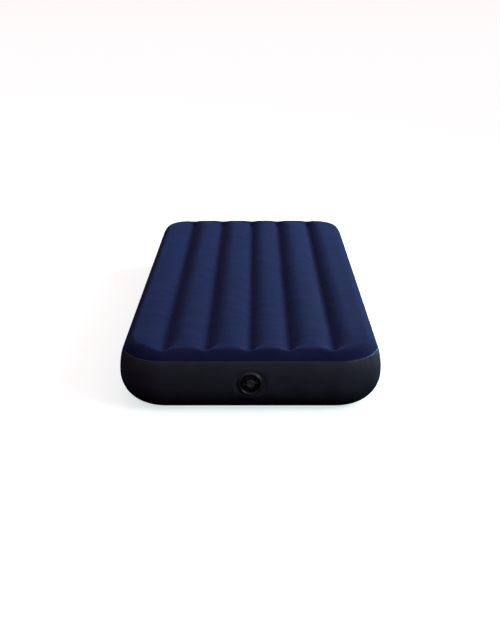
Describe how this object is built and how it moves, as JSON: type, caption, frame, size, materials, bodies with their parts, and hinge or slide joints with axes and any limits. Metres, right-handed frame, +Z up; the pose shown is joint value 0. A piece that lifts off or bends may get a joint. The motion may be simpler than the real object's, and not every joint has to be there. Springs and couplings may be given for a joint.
{
  "type": "inflatable mattress",
  "caption": "Flocked inflatable mattress for one person: lengthwise air channels over inner curtains, a welded black side wall, and a recessed two-stage air valve in the foot end.",
  "frame": {"origin": "on the ground under the middle of the mattress", "axes": "+X across, to the right as seen from the valve; +Y along the length, away from the valve; +Z up"},
  "size_m": [0.99, 1.9126, 0.25],
  "materials": {
    "navy_flock": "short velvet flock on film",
    "black_film": "satin film",
    "weld_strip": "satin film",
    "fibre": "drawn polyester thread",
    "soft_black": "soft satin",
    "moulded_black": "satin moulding",
    "cap_black": "satin moulding",
    "seal_rubber": "matt",
    "flap_rubber": "matt"
  },
  "bodies": {
    "mattress": {"top_sheet": "navy_flock", "side_wall": "black_film", "bottom_sheet": "black_film", "top_weld_strip_1": "weld_strip", "top_weld_strip_2": "weld_strip", "top_weld_strip_3": "weld_strip", "top_weld_strip_4": "weld_strip", "top_weld_strip_5": "weld_strip", "fibre_curtain_1": "fibre", "fibre_curtain_2": "fibre", "fibre_curtain_3": "fibre", "fibre_curtain_4": "fibre", "fibre_curtain_5": "fibre", "bottom_weld_strip_1": "weld_strip", "bottom_weld_strip_2": "weld_strip", "bottom_weld_strip_3": "weld_strip", "bottom_weld_strip_4": "weld_strip", "bottom_weld_strip_5": "weld_strip", "valve_flange": "soft_black", "valve_body": "moulded_black", "leash_anchor": "moulded_black"},
    "stopper": {"deflation_stopper": "moulded_black", "stopper_seal": "seal_rubber", "stopper_leash": "soft_black", "cap_strap": "soft_black", "strap_stud": "moulded_black", "flap_anchor": "flap_rubber"},
    "cap": {"inflation_cap": "cap_black"},
    "flap": {"check_flap": "flap_rubber"}
  },
  "joints": [
    {"name": "stopper_pull", "type": "slide", "parent": "mattress", "child": "stopper", "axis": [0, -0.9991, 0.043], "range_m": [0, 0.03]},
    {"name": "cap_open", "type": "hinge", "parent": "stopper", "child": "cap", "pos_m": [-0.02086, -0.94963, 0.11858], "axis": [0.2419, -0.0418, -0.9694], "range_deg": [0, 140]},
    {"name": "flap_open", "type": "hinge", "parent": "stopper", "child": "flap", "pos_m": [0, -0.93045, 0.13617], "axis": [1, 0, 0], "range_deg": [0, 60], "stiffness_Nm_per_rad": 0.002, "springref_deg": -5.73}
  ]
}
